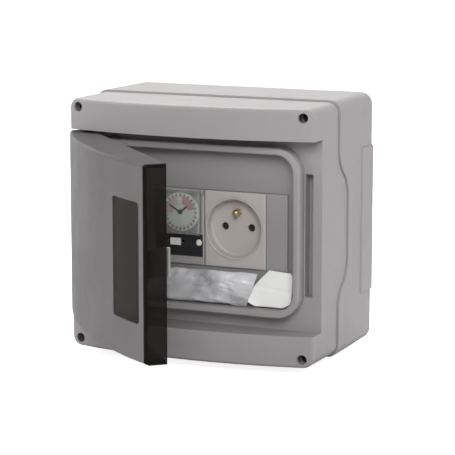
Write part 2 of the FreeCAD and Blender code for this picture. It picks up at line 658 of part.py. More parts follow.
def make_timer():
    """Time switch: housing, motor, dial with tappets, hands, flap, panel, selector and indicator."""
    middle = "(timer_left + timer_right) / 2"
    housing = module_housing("timer_profile", "timer_left", "timer_right")
    inside = ("timer_left + 1.8", "timer_right - 1.8")
    lug_z = ("flap_axis_z - 1.4", "flap_axis_z + 1.2")
    lugs = [box(span, ("-flap_axis_depth - 1.2", "-nose_depth + 1"), lug_z)
            for span in (("timer_left", "timer_left + 1.3"), ("timer_right - 1.3", "timer_right"))]
    cuts = [
        box(inside, ("-nose_depth + 2", "-38"), ("-nose_half + 1.8", "nose_half - 1.8")),
        y_rod("dial_radius + 0.2", "dial_x", "dial_z", "nose_depth + 1", "nose_depth - 3"),
        box(("selector_x - selector_travel - 2", "selector_x + selector_travel + 2"),
            ("-nose_depth - 1", "-nose_depth + 3"), ("selector_z - 1.2", "selector_z + 1.2")),
        y_rod("1.5", "indicator_x", "selector_z", "nose_depth + 1", "nose_depth - 3"),
        rod("x", "0.65", ("timer_left - 1", "-flap_axis_depth", "flap_axis_z"),
            "timer_right - timer_left + 2"),
        clip_channel(middle), *terminal_cuts(PLACES["timer_terminals"])]
    node(cut(join([housing, *lugs]), *cuts), "timer_housing")
    rail_clip("timer_rail_clip", middle)
    terminal_screws("timer_terminal_screws", PLACES["timer_terminals"])

    motor = [y_rod("11", "dial_x", "dial_z", "60", "38.1"), y_rod("6", "dial_x", "dial_z", "72", "60"),
             y_rod("2.4", "dial_x", "dial_z", "77", "72")]
    node(cut(join(motor), y_rod("0.6 + running", "dial_x", "dial_z", "78", "70")), "timer_motor")

    dial = new_body("dial_body")
    revolve(dial, "XY_Plane", [
        ("1.2 + running", "-dial_front"), ("dial_radius - 0.5", "-dial_front"),
        ("dial_radius", "0.5 - dial_front"), ("dial_radius", "2.2 - dial_front"),
        ("2.6", "2.2 - dial_front"), ("2.6", "-79"), ("1.2 + running", "-79")])
    notch = new_sketch(dial, "XZ_Plane", "dial_front")
    draw_rectangle(notch, "-0.6", "0.6", "tappet_pitch - 0.65", "tappet_pitch + 0.65")
    notches = pocket(dial, notch, "1.5")
    polar(dial, notches, notch, 24)
    node(place(dial, "dial_x", "0", "dial_z"), "timer_dial")

    tappet = new_body("tappet_body")
    tappet.AllowCompound = True
    outline = new_sketch(tappet, "XZ_Plane", "dial_front - 1.4")
    draw_rectangle(outline, "-0.5", "0.5", "tappet_pitch - 0.55", "tappet_pitch + 0.55")
    polar(tappet, pad(tappet, outline, "2.1"), outline, 24)
    node(place(tappet, "dial_x", "0", "dial_z"), "timer_tappets")

    make_hand("timer_hour_hand", tube="1.2", bore="0.6 + running", back="78", lift="0.2", length="6.6",
              width="1.3", angle=52)
    make_hand("timer_minute_hand", tube="0.6", bore=None, back="72", lift="0.9", length="9.6", width="0.9",
              angle=-58)
    make_timer_front()


def make_hand(label, tube, bore, back, lift, length, width, angle):
    """A hand on its own arbor, a small lift in front of the dial and turned from upright by an angle."""
    low, high = f"dial_front + {lift}", f"dial_front + {lift} + 0.5"
    hand = new_body(label + "_body")
    blade = new_sketch(hand, "XZ_Plane", low)
    draw_outline(blade, [(f"-({width}) / 2", "0"), (f"({width}) / 2", "0"),
                         (f"({width}) / 2", f"{length} - 1.4"), ("0", length),
                         (f"-({width}) / 2", f"{length} - 1.4")])
    pad(hand, blade, f"({high}) - ({low})")
    hub = new_sketch(hand, "XZ_Plane", low)
    draw_circle(hub, "0", "0", f"({tube}) + 0.5")
    pad(hand, hub, f"({high}) - ({low})")
    arbor = new_sketch(hand, "XZ_Plane", low)
    draw_circle(arbor, "0", "0", tube)
    pad(hand, arbor, f"({low}) - ({back})", reverse=True)
    if bore:
        hole = new_sketch(hand, "XZ_Plane", f"({high}) + 1")
        draw_circle(hole, "0", "0", bore)
        pocket(hand, hole, "40")
    hand.Placement = FreeCAD.Placement(FreeCAD.Vector(), FreeCAD.Rotation(FreeCAD.Vector(0, 1, 0), angle))
    node(place(hand, "dial_x", "0", "dial_z"), label)


def make_timer_front():
    """The black lower panel with its selector and indicator, and the clear flap over the dial."""
    panel = rounded(box(("timer_left + panel_margin", "timer_right - panel_margin"),
                        ("-panel_front", "-nose_depth - 0.02"), ("panel_low", "panel_top")), "0.5",
                    lambda edge: edge.BoundBox.YMax < -value("nose_depth") - 1)
    slot = box(("selector_x - selector_travel - 2", "selector_x + selector_travel + 2"),
               ("-panel_front - 1", "-nose_depth + 1"), ("selector_z - 1.2", "selector_z + 1.2"))
    lens_hole = y_rod("indicator_radius + loose", "indicator_x", "selector_z", "panel_front + 1",
                      "nose_depth - 1")
    node(cut(panel, slot, lens_hole), "timer_panel")
    knob = rounded(box(("selector_x - selector_half", "selector_x + selector_half"),
                       ("-panel_front - 2", "-panel_front - 0.15"),
                       ("selector_z - 2.4", "selector_z + 2.4")),
                   "0.6", lambda edge: edge.BoundBox.YMax < -value("panel_front") - 1.9)
    stem = box(("selector_x - 1.9", "selector_x + 1.9"), ("-panel_front - 0.5", "-nose_depth + 1.6"),
               ("selector_z - 1.1", "selector_z + 1.1"))
    node(join([knob, stem]), "timer_selector")
    lens = new_body("indicator_body")
    revolve(lens, "XY_Plane", [
        ("0", "-panel_front - 0.9"), ("indicator_radius - 0.7", "-panel_front - 0.7"),
        ("indicator_radius", "-panel_front - 0.1"), ("indicator_radius", "-nose_depth - 0.05"),
        ("1.4", "-nose_depth - 0.05"), ("1.4", "-nose_depth + 2.5"), ("0", "-nose_depth + 2.5")])
    node(place(lens, "indicator_x", "0", "selector_z"), "timer_indicator")

    left, right = "timer_left + flap_margin", "timer_right - flap_margin"
    outer = rounded(box((left, right), ("-flap_front", "-flap_axis_depth + 0.3"), ("flap_low", "flap_top")),
                    "0.8", lambda edge: edge.BoundBox.YMax < -value("flap_front") + 0.01)
    hollow = box((f"{left} + 0.9", f"{right} - 0.9"), ("-flap_front + 0.9", "-nose_depth"),
                 ("flap_low + 0.9", "flap_top - 0.9"))
    trim = box((left, right), ("-flap_axis_depth", "-nose_depth"), ("flap_axis_z", "flap_top + 1"))
    pins = [rod("x", "0.6", (start, "-flap_axis_depth", "flap_axis_z"), "1.6")
            for start in ("timer_left + 0.3", "timer_right - 1.9")]
    node(join([cut(outer, hollow, trim), *pins]), "timer_flap")


def make_socket():
    """Socket outlet: housing, round well, contacts, earth pin and contact shutter."""
    housing = module_housing("socket_profile", "socket_left", "socket_right")
    middle = "(socket_left + socket_right) / 2"
    half_pitch = "contact_pitch / 2"
    earth_z = "well_z + earth_rise"
    holes = both(lambda side: y_rod("3.3", f"well_x + {side} * {half_pitch}", "well_z", "cavity_back + 1",
                                    "contact_back - 0.2"))
    holes.append(y_rod("earth_radius + running", "well_x", earth_z, "cavity_back + 1",
                       "contact_back - 0.2"))
    cuts = [y_rod("well_outer + running", "well_x", "well_z", "nose_depth + 1", "well_seat"),
            box(("well_x - 16", "well_x + 16"), ("-well_seat - 1", "-cavity_back"),
                ("well_z - 16", "well_z + 16")),
            clip_channel(middle), *holes, *terminal_cuts(PLACES["socket_terminals"])]
    node(cut(housing, *cuts), "socket_housing")
    rail_clip("socket_rail_clip", middle)
    terminal_screws("socket_terminal_screws", PLACES["socket_terminals"])

    well = new_body("well_body")
    floor_back = "2 - well_floor"
    revolve(well, "XY_Plane", [
        ("0", "-well_floor"), ("well_radius - 1", "-well_floor"), ("well_radius", "-well_floor - 1"),
        ("well_radius", "0.5 - well_front"), ("well_radius + 0.5", "-well_front"),
        ("well_outer", "-well_front"), ("well_outer", "-well_seat - running"),
        ("well_outer - 2", "-well_seat - running"), ("well_outer - 2", floor_back), ("1", floor_back),
        ("1", f"{floor_back} + 2.8"), ("0", f"{floor_back} + 2.8")])
    openings = new_sketch(well, "XZ_Plane", "well_floor + 1")
    for side in (-1, 1):
        draw_circle(openings, f"{side} * {half_pitch}", "0", "contact_hole")
    draw_circle(openings, "0", "earth_rise", "earth_radius + running")
    pocket(well, openings, "4")
    node(place(well, "well_x", "0", "well_z"), "socket_well")

    tubes = []
    for side in (-1, 1):
        x = f"well_x + {side} * {half_pitch}"
        tubes.append(cut(y_rod("3.2", x, "well_z", "well_seat + 1.2", "contact_back"),
                         y_rod("2.35", x, "well_z", "well_seat + 2", "contact_back + 3"),
                         box((f"{x} - 0.4", f"{x} + 0.4"), ("-well_seat - 2", "-cavity_back"),
                             ("well_z - 4", "well_z + 4"))))
    node(group(tubes), "socket_contacts")

    pin = new_body("earth_body")
    revolve(pin, "XY_Plane", [
        ("0", "-contact_back"), ("earth_radius", "-contact_back"), ("earth_radius", "2.4 - earth_tip"),
        ("earth_radius * 0.8", "0.9 - earth_tip"), ("earth_radius * 0.35", "-earth_tip"),
        ("0", "-earth_tip")])
    node(place(pin, "well_x", "0", earth_z), "socket_earth_pin")

    shutter = new_body("shutter_body")
    bar = new_sketch(shutter, "XZ_Plane", "well_floor - 3.6")
    draw_rectangle(bar, "-13", "13", "-3.4", "3.4")
    pad(shutter, bar, "1.2")
    pivot = new_sketch(shutter, "XZ_Plane", "well_floor")
    draw_circle(pivot, "0", "0", "1 + running")
    pocket(shutter, pivot, "6")
    round_edges(shutter, "2", runs_along("y"))
    node(place(shutter, "well_x", "0", "well_z"), "socket_shutter")


# ---------------------------------------------------------------- wiring

def make_terminal_block():
    """Four-pole block on the back wall, with a screw over each pole."""
    body = rounded(box(("-block_half", "block_half"), ("-block_depth", "-skin - running"),
                       ("block_low", "block_top")),
                   "1", lambda edge: edge.BoundBox.YMax < -value("block_depth") + 0.01)
    middle = "(block_low + block_top) / 2"
    cuts = [rod("z", "1.8", (x, "-block_wire", "block_low - 1"), "block_top - block_low + 2")
            for x in PLACES["block_poles"]]
    cuts += [y_rod("2.2", x, middle, "block_depth + 1", "block_wire") for x in PLACES["block_poles"]]
    node(cut(body, *cuts), "terminal_block")
    single = screw("block_screw", "2", "1.6", "1.4", "2.6", "0.6")
    spots = [(x, "-block_depth + 3", middle) for x in PLACES["block_poles"]]
    node(copies(single, spots), "terminal_screws")


def bent_path(spots, bend):
    """Straight runs through the spots, joined by arcs of one radius."""
    edges = []
    start = spots[0]
    for before, corner, after in zip(spots, spots[1:], spots[2:]):
        back, ahead = (before - corner).normalize(), (after - corner).normalize()
        half_angle = back.getAngle(ahead) / 2
        reach = bend / math.tan(half_angle)
        middle = corner + (back + ahead).normalize() * (bend / math.sin(half_angle) - bend)
        edges.append(Part.LineSegment(start, corner + back * reach).toShape())
        edges.append(Part.Arc(corner + back * reach, middle, corner + ahead * reach).toShape())
        start = corner + ahead * reach
    edges.append(Part.LineSegment(start, spots[-1]).toShape())
    return Part.Wire(edges)


def make_wire(label, points):
    """A round lead with soft bends, through corners given as formulas."""
    spots = [FreeCAD.Vector(value(x), value(y), value(z)) for x, y, z in points]
    path = bent_path(spots, value("wire_bend"))
    ring = Part.Wire(Part.Circle(spots[0], spots[1] - spots[0], value("wire_radius")).toShape())
    wire = document.addObject("Part::Feature", label)
    wire.Shape = path.makePipeShell([ring], True, True)
    wire.Placement = FreeCAD.Placement()
    node(wire, label)


def make_wires():
    """Leads from the block to the modules, and the switched lead between the two modules."""
    terminal = "-module_half + 5"
    routes = {
        "wire_live": (PLACES["block_poles"][0], PLACES["timer_terminals"][0]),
        "wire_earth": (PLACES["block_poles"][2], PLACES["socket_terminals"][1]),
        "wire_neutral": (PLACES["block_poles"][3], PLACES["socket_terminals"][2]),
    }
    for label, (start, end) in routes.items():
        make_wire(label, [
            (start, "-block_wire", "block_top - 4"), (start, "-block_wire", "block_top + 4"),
            (end, "-terminal_depth", "-module_half - 6"), (end, "-terminal_depth", terminal)])
    start, end = PLACES["timer_terminals"][1], PLACES["socket_terminals"][0]
    make_wire("wire_switched", [
        (start, "-terminal_depth", terminal), (start, "-terminal_depth", "-module_half - 7"),
        (end, "-terminal_depth", "-module_half - 7"), (end, "-terminal_depth", terminal)])


# ---------------------------------------------------------------- leaflet

def make_leaflet():
    """The clear pouch and the folded leaflet, as plain solids."""
    node(box(("pouch_left", "pouch_right"), ("-pouch_front", "-leaflet_back"), ("pouch_low", "pouch_top")),
         "document_pouch")
    node(box(("sheet_left", "sheet_right"), ("-sheet_front", "-leaflet_back"), ("sheet_low", "sheet_top")),
         "instruction_sheet")


# ---------------------------------------------------------------- door

def swing_open(thing):
    """Turn a piece that was drawn closed about the hinge axis."""
    pivot = FreeCAD.Vector(value("hinge_x"), -value("hinge_depth"), 0)
    turn = FreeCAD.Rotation(FreeCAD.Vector(0, 0, 1), -value("door_angle"))
    thing.Placement = FreeCAD.Placement(FreeCAD.Vector(), turn, pivot)
    return thing


def curved_sheet(x, half, outer, inner):
    """A piece of the curved front between two distances from its axis."""
    block = box(x, ("-front_depth - 1", "-door_back + 1"), (f"-({half})", half))
    return cut(common(block, crown(outer, f"({half}) + 1")), crown(inner, f"({half}) + 2"))


def soft_front(thing, free_edge):
    """Round the edges of a piece of the curved front, except along the door's inner joint."""
    def wanted(edge):
        ends = edge.BoundBox
        on_front = ends.YMax < -value("door_back") - 5
        upright = ends.XLength < 1e-3 and ends.ZLength > 10
        return on_front and (not upright or abs(ends.XMin - value(free_edge)) < 1e-3)

    return rounded(thing, "door_edge_radius", wanted)


def make_door():
    """Door shell with its sealing rib and seal, its smoked pane and free-edge strip, and the catch."""
    whole = common(box(("door_left", "strip_left - running"), ("-front_depth - 1", "-door_back"),
                       ("-door_half", "door_half")), crown("front_radius", "door_half + 1"))
    whole = soft_front(whole, "door_left")
    hollow = common(box(("door_left + door_skin", "strip_left + 1"), ("-front_depth - 1", "-door_back + 1"),
                        ("-door_half + door_skin", "door_half - door_skin")),
                    crown("front_radius - door_skin", "door_half + 1"))
    heel = box(("door_left - 1", "hinge_x + 3.5"), ("-hinge_depth", "-door_back + 1"),
               ("-door_half - 1", "door_half + 1"))
    window = block_with_round_corners(("pane_left", "pane_right"), ("-front_depth - 1", "-door_back"),
                                      ("-pane_half", "pane_half"), "y", "3")
    height = "door_half - knuckle_low"
    knuckles = []
    for low in ("knuckle_low", "-door_half"):
        knuckles.append(rod("z", "knuckle", ("hinge_x", "-hinge_depth", low), height))
        knuckles.append(box(("door_left", "hinge_x + knuckle"), ("-hinge_depth - 6", "-hinge_depth"),
                            (low, f"{low} + {height}")))
    rib = common(rim_ring("rib_width", ("-front_depth", "-rib_back")),
                 crown("front_radius - 1", "door_half + 1"))
    flange = ("pane_left - pane_flange - loose", "pane_right + pane_flange + loose")
    rib = cut(rib, curved_sheet(flange, "pane_half + pane_flange + loose", "front_radius + 1",
                                "front_radius - door_skin - 1.7"))
    groove = rim_ring("seal_width + 2 * running", ("-rib_back - 1.1", "-rib_back + 1"))
    bores = [rod("z", "hinge_pin + running", ("hinge_x", "-hinge_depth", low), f"{height} + 2")
             for low in ("knuckle_low - 1", "-door_half - 1")]
    shell = join([cut(whole, hollow, heel, window), *knuckles, rib])
    node(swing_open(cut(shell, groove, *bores)), "door_shell")
    node(swing_open(rim_ring("seal_width", ("-rib_back - 1", "-seal_back"))), "door_seal")

    pane = join([
        common(block_with_round_corners(("pane_left + loose", "pane_right - loose"),
                                        ("-front_depth - 1", "-door_back"),
                                        ("-pane_half + loose", "pane_half - loose"), "y", "3"),
               curved_sheet(("pane_left - 1", "pane_right + 1"), "pane_half + 1", "front_radius - 0.6",
                            "front_radius - door_skin - 1")),
        curved_sheet(("pane_left - pane_flange", "pane_right + pane_flange"), "pane_half + pane_flange",
                     "front_radius - door_skin - running", "front_radius - door_skin - 1.6")])
    node(swing_open(pane), "door_window")
    strip = common(box(("strip_left", "door_right"), ("-front_depth - 1", "-door_back"),
                       ("-door_half", "door_half")),
                   crown("front_radius", "door_half + 1"))
    node(swing_open(soft_front(strip, "door_right")), "door_edge_strip")

    root = common(box(("catch_x - 3", "strip_left - 0.1"), ("-front_depth", "-door_back - 9"),
                      ("-catch_half", "catch_half")), crown("front_radius - door_skin - 1.7", "door_half"))
    tongue = box(("catch_x - 1.4", "catch_x + 0.6"), ("-door_back - 10", "-slot_depth - 4.5"),
                 ("-catch_half", "catch_half"))
    hook = box(("catch_x - 1.4", "catch_x + 1.8"), ("-floor_depth + 2", "-slot_depth - 4.5"),
               ("-catch_half", "catch_half"))
    node(swing_open(join([root, tongue, hook])), "door_catch")


def make_hinge_pins():
    """Two short pins, held in the bands, on which the door turns."""
    length = "recess_half - knuckle_low + 4.5"
    starts = {"hinge_pin_upper": "knuckle_low + 0.5", "hinge_pin_lower": f"-knuckle_low - 0.5 - ({length})"}
    for label, low in starts.items():
        node(rod("z", "hinge_pin", ("hinge_x", "-hinge_depth", low), length), label)


make_base()
make_cover()
make_gasket()
make_fasteners()
make_grommets()
make_rail()
make_mask()
make_timer()
make_socket()
make_terminal_block()
make_wires()
make_leaflet()
make_door()
make_hinge_pins()
document.recompute()

for thing in document.Objects:
    if "Invalid" in thing.State or "Error" in thing.State:
        raise RuntimeError(f"{thing.Name} ({thing.Label}) did not compute: {thing.State}")
for thing in nodes:
    if thing.Shape.isNull() or not thing.Shape.isValid() or not thing.Shape.Solids:
        raise RuntimeError(f"{thing.Label} has no valid solid")

os.makedirs("parts", exist_ok=True)
for thing in nodes:
    thing.Shape.exportStep(f"parts/{thing.Label}.step")
    print(f"{thing.Label}: {len(thing.Shape.Solids)} solids, {thing.Shape.Volume / 1000:.2f} cm3")
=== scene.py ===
import math

import bmesh
import bpy
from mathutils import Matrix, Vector, noise


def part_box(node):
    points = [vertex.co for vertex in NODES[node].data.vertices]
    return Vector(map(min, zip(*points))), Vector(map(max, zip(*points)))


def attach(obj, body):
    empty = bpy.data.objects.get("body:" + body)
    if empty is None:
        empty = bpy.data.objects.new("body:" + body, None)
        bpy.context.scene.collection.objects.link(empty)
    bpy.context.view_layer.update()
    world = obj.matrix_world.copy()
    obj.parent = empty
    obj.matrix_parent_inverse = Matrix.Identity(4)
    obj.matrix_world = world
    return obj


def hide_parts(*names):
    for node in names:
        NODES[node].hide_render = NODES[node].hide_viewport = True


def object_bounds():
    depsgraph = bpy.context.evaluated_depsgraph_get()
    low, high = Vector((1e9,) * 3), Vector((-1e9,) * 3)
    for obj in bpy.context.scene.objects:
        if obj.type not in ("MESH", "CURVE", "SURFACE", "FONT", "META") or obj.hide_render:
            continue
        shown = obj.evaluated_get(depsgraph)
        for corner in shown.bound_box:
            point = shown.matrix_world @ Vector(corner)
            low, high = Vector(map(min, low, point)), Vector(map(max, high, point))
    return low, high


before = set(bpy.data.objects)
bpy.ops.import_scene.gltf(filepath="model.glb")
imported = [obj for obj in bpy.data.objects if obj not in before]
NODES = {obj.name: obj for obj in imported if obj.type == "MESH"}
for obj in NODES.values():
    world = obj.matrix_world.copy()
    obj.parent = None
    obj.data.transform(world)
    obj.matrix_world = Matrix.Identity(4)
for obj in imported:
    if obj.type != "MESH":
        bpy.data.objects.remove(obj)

MM = 0.001
ACRYLIC_IOR = 1.49
CAD_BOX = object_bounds()


# ---------------------------------------------------------------- material building blocks

class Shader:
    """A node material with a principled surface, and short ways to add and join nodes."""

    def __init__(self, name):
        self.material = bpy.data.materials.new(name)
        self.material.use_nodes = True
        self.tree = self.material.node_tree
        self.surface = self.tree.nodes["Principled BSDF"]
        self.output = self.tree.nodes["Material Output"]
        self.place = self.tree.nodes.new("ShaderNodeTexCoord").outputs["Object"]

    def node(self, kind, **settings):
        """Add a shader node and set its options."""
        made = self.tree.nodes.new("ShaderNode" + kind)
        for key, setting in settings.items():
            setattr(made, key, setting)
        return made

    def feed(self, made, **inputs):
        """Give inputs a number, a colour or another node's output; underscores stand for spaces."""
        for key, source in inputs.items():
            socket = made.inputs[int(key[1:])] if key[0] == "_" else made.inputs[key.replace("_", " ")]
            if isinstance(source, bpy.types.NodeSocket):
                self.tree.links.new(source, socket)
            else:
                socket.default_value = source
        return made

    def grain(self, scale, detail=2.0, roughness=0.5, distortion=0.0):
        """Noise between 0 and 1, its scale in bumps per metre."""
        made = self.node("TexNoise")
        self.feed(made, Vector=self.place, Scale=scale, Detail=detail, Roughness=roughness,
                  Distortion=distortion)
        return made.outputs["Fac"]

    def math(self, operation, first, second=0.0, clamp=False):
        """One arithmetic step on numbers or outputs."""
        made = self.node("Math", operation=operation, use_clamp=clamp)
        self.feed(made, _0=first, _1=second)
        return made.outputs[0]

    def remap(self, source, low, high, start=0.0, end=1.0):
        """Stretch low..high to start..end, and hold the ends."""
        made = self.node("MapRange")
        self.feed(made, Value=source, From_Min=low, From_Max=high, To_Min=start, To_Max=end)
        return made.outputs["Result"]

    def mix(self, factor, first, second):
        """Blend two colours, which the node takes in its sockets 6 and 7."""
        made = self.node("Mix", data_type="RGBA")
        self.feed(made, _0=factor, _6=first, _7=second)
        return made.outputs[2]

    def soft_edge_normal(self, radius):
        """The normal as if every edge were rounded to this radius."""
        made = self.node("Bevel", samples=6)
        self.feed(made, Radius=radius)
        return made.outputs["Normal"]

    def bump(self, height, strength, distance, normal=None):
        """The surface normal over a height; distance is how far the height 1 stands out."""
        made = self.node("Bump")
        self.feed(made, Height=height, Strength=strength, Distance=distance)
        if normal is not None:
            self.feed(made, Normal=normal)
        return made.outputs["Normal"]

    def edge_mask(self, radius):
        """1 on outer edges and 0 on flats, from how far a bevelled normal leans."""
        lean = self.node("VectorMath", operation="DOT_PRODUCT")
        self.feed(lean, _0=self.soft_edge_normal(radius), _1=self.node("NewGeometry").outputs["Normal"])
        return self.remap(lean.outputs["Value"], 0.99, 0.85)


def rgba(red, green, blue):
    """An opaque colour as a node value."""
    return (red, green, blue, 1.0)


def shade(colour, factor):
    """A darker or lighter version of a colour, as a node value."""
    return rgba(*[min(1.0, part * factor) for part in colour])


def moulded(name, colour, roughness=0.5, grain=0.35 * MM, depth=0.02 * MM, edge=0.5 * MM, dust=0.06,
            gloss=0.4):
    """Moulded plastic: spark-eroded grain, slow shade drift, polished edges and a little dust on top."""
    shader = Shader(name)
    drift = shader.grain(14.0, 3.0)
    blotch = shader.grain(90.0, 4.0, 0.6)
    base = shader.mix(shader.remap(drift, 0.35, 0.65, 0.0, 0.5), rgba(*colour), shade(colour, 0.93))
    base = shader.mix(shader.remap(blotch, 0.4, 0.8, 0.0, 0.25), base, shade(colour, 0.95))
    edges = shader.edge_mask(edge * 1.5)
    worn = shader.math("MULTIPLY", edges, shader.remap(shader.grain(260.0, 4.0, 0.7), 0.45, 0.6, 0.15, 0.6))
    base = shader.mix(worn, base, shade(colour, 1.15))
    upward = shader.node("SeparateXYZ")
    shader.feed(upward, Vector=shader.node("NewGeometry").outputs["Normal"])
    settled = shader.math("MULTIPLY", shader.remap(upward.outputs["Z"], 0.6, 1.0, 0.0, dust),
                          shader.grain(400.0, 6.0, 0.75))
    base = shader.mix(settled, base, rgba(0.62, 0.59, 0.53))
    rough = shader.remap(shader.grain(45.0, 5.0, 0.65), 0.3, 0.7, roughness - 0.06, roughness + 0.08)
    rough = shader.math("SUBTRACT", rough, shader.math("MULTIPLY", edges, 0.1))
    fine = shader.grain(1.0 / grain, 2.0, 0.55)
    normal = shader.bump(fine, 0.55, depth, shader.soft_edge_normal(edge))
    shader.feed(shader.surface, Base_Color=base, Roughness=rough, Normal=normal, Specular_IOR_Level=gloss)
    return shader.material


def metal(name, colour, roughness=0.3, brushed=None):
    """Plated or bare metal with fine scratches and dulled patches."""
    shader = Shader(name)
    stretch = shader.node("Mapping")
    shader.feed(stretch, Vector=shader.place, Scale=brushed or (1.0, 1.0, 1.0))
    scratch = shader.node("TexNoise")
    shader.feed(scratch, Vector=stretch.outputs["Vector"], Scale=900.0, Detail=5.0, Roughness=0.65)
    patch = shader.grain(120.0, 5.0, 0.6)
    base = shader.mix(shader.remap(patch, 0.4, 0.7, 0.0, 0.45), rgba(*colour), shade(colour, 0.72))
    rough = shader.remap(scratch.outputs["Fac"], 0.3, 0.7, roughness - 0.08, roughness + 0.16)
    normal = shader.bump(scratch.outputs["Fac"], 0.25, 0.01 * MM, shader.soft_edge_normal(0.15 * MM))
    shader.feed(shader.surface, Base_Color=base, Metallic=1.0, Roughness=rough, Normal=normal)
    return shader.material


def rubber(name, colour):
    """Soft rubber: dull, with a bloom that greys it in patches."""
    shader = Shader(name)
    bloom = shader.remap(shader.grain(300.0, 6.0, 0.7), 0.45, 0.7, 0.0, 0.35)
    base = shader.mix(bloom, rgba(*colour), shade([part + 0.04 for part in colour], 1.3))
    normal = shader.bump(shader.grain(2600.0, 3.0), 0.4, 0.02 * MM, shader.soft_edge_normal(0.3 * MM))
    rough = shader.remap(bloom, 0.0, 0.35, 0.55, 0.8)
    shader.feed(shader.surface, Base_Color=base, Roughness=rough, Normal=normal)
    return shader.material


def lay_over(shader, amount, through):
    """Show the principled surface by some amount over a see-through shader."""
    blend = shader.node("MixShader")
    shader.feed(blend, _0=amount, _1=through.outputs[0], _2=shader.surface.outputs[0])
    shader.feed(shader.output, Surface=blend.outputs[0])


def thin_clear(name, tint, roughness, haze, haze_colour):
    """A clear or smoked sheet: light goes through it tinted, under a haze and a reflection."""
    shader = Shader(name)
    smear = shader.grain(70.0, 5.0, 0.65, 0.6)
    fine = shader.grain(420.0, 4.0, 0.7)
    through = shader.node("BsdfTransparent")
    smudged = shader.remap(smear, 0.4, 0.7, 0.0, 0.3)
    shader.feed(through, Color=shader.mix(smudged, rgba(*tint), shade(tint, 0.85)))
    normal = shader.bump(fine, 0.15, 0.01 * MM, shader.soft_edge_normal(0.4 * MM))
    rough = shader.remap(smear, 0.3, 0.75, roughness, roughness + 0.12)
    shader.feed(shader.surface, Base_Color=rgba(*haze_colour), Roughness=rough, Normal=normal,
                IOR=ACRYLIC_IOR)
    fresnel = shader.node("Fresnel")
    shader.feed(fresnel, IOR=ACRYLIC_IOR, Normal=normal)
    dusty = shader.remap(fine, 0.3, 0.8, haze * 0.7, haze * 1.3)
    lay_over(shader, shader.math("ADD", fresnel.outputs["Fac"], dusty, clamp=True), through)
    return shader.material


def paper(name):
    """Coated paper: near white, with faint fibres and soft dents."""
    shader = Shader(name)
    fibre = shader.grain(2200.0, 4.0, 0.7)
    dents = shader.grain(60.0, 3.0, 0.5)
    base = shader.mix(shader.remap(fibre, 0.4, 0.7, 0.0, 0.3), rgba(0.96, 0.96, 0.955),
                      rgba(0.92, 0.92, 0.91))
    height = shader.math("ADD", shader.math("MULTIPLY", fibre, 0.15), dents)
    normal = shader.bump(height, 0.3, 0.3 * MM)
    shader.feed(shader.surface, Base_Color=base, Roughness=0.42, Normal=normal, Specular_IOR_Level=0.45)
    return shader.material


# The dial's print: rings as inner and outer radius in millimetres, sectors in hours from the top.
DIAL_TICKS = (9.2, 10.6)
DIAL_RING = (10.65, 10.9)
DIAL_SECTORS = (5.4, 10.4)
PINK_HOURS = (-6.4, -1.2)
RED_HOURS = (0.6, 5.2)


def dial_face(name, centre):
    """Off-white dial with coloured sectors, a tick for each hour and a fine ring."""
    shader = Shader(name)
    offset = shader.node("VectorMath", operation="SUBTRACT")
    shader.feed(offset, _0=shader.place, _1=tuple(centre))
    split = shader.node("SeparateXYZ")
    shader.feed(split, Vector=offset.outputs["Vector"])
    across, up = split.outputs["X"], split.outputs["Z"]
    radius = shader.math("SQRT", shader.math("ADD", shader.math("MULTIPLY", across, across),
                                             shader.math("MULTIPLY", up, up)))
    turn = shader.math("ARCTAN2", across, up)
    hours = shader.math("MULTIPLY", turn, 24.0 / (2.0 * math.pi))
    past_half = shader.math("FRACT", shader.math("ADD", hours, 0.5))
    to_tick = shader.math("ABSOLUTE", shader.math("SUBTRACT", past_half, 0.5))

    def between(source, low, high):
        return shader.math("MULTIPLY", shader.math("GREATER_THAN", source, low),
                           shader.math("LESS_THAN", source, high))

    def ring(inner, outer):
        return between(radius, inner * MM, outer * MM)

    ticks = shader.math("MULTIPLY", shader.math("LESS_THAN", to_tick, 0.045), ring(*DIAL_TICKS))
    circle = ring(*DIAL_RING)
    pink = shader.math("MULTIPLY", between(hours, *PINK_HOURS), ring(*DIAL_SECTORS))
    red = shader.math("MULTIPLY", between(hours, *RED_HOURS), ring(*DIAL_SECTORS))
    base = shader.mix(shader.remap(shader.grain(300.0, 3.0), 0.4, 0.7, 0.0, 0.3), rgba(0.86, 0.9, 0.84),
                      rgba(0.76, 0.81, 0.74))
    base = shader.mix(shader.math("MULTIPLY", pink, 0.75), base, rgba(0.82, 0.55, 0.55))
    base = shader.mix(shader.math("MULTIPLY", red, 0.85), base, rgba(0.72, 0.3, 0.31))
    base = shader.mix(shader.math("MAXIMUM", ticks, circle), base, rgba(0.05, 0.05, 0.05))
    normal = shader.bump(shader.grain(1500.0), 0.2, 0.01 * MM, shader.soft_edge_normal(0.2 * MM))
    shader.feed(shader.surface, Base_Color=base, Roughness=0.4, Normal=normal)
    return shader.material


def earth_lead(name):
    """Green sheath with a yellow stripe that winds along the lead."""
    shader = Shader(name)
    wave = shader.node("TexWave", wave_type="BANDS", bands_direction="DIAGONAL")
    shader.feed(wave, Vector=shader.place, Scale=55.0, Distortion=0.4)
    base = shader.mix(shader.remap(wave.outputs["Fac"], 0.45, 0.55), rgba(0.05, 0.25, 0.05),
                      rgba(0.65, 0.6, 0.05))
    normal = shader.bump(shader.grain(1800.0), 0.2, 0.01 * MM)
    shader.feed(shader.surface, Base_Color=base, Roughness=0.38, Normal=normal)
    return shader.material


def paint(material, *names):
    """Give CAD nodes one material."""
    for name in names:
        NODES[name].data.materials.clear()
        NODES[name].data.materials.append(material)


# ---------------------------------------------------------------- materials of the CAD nodes

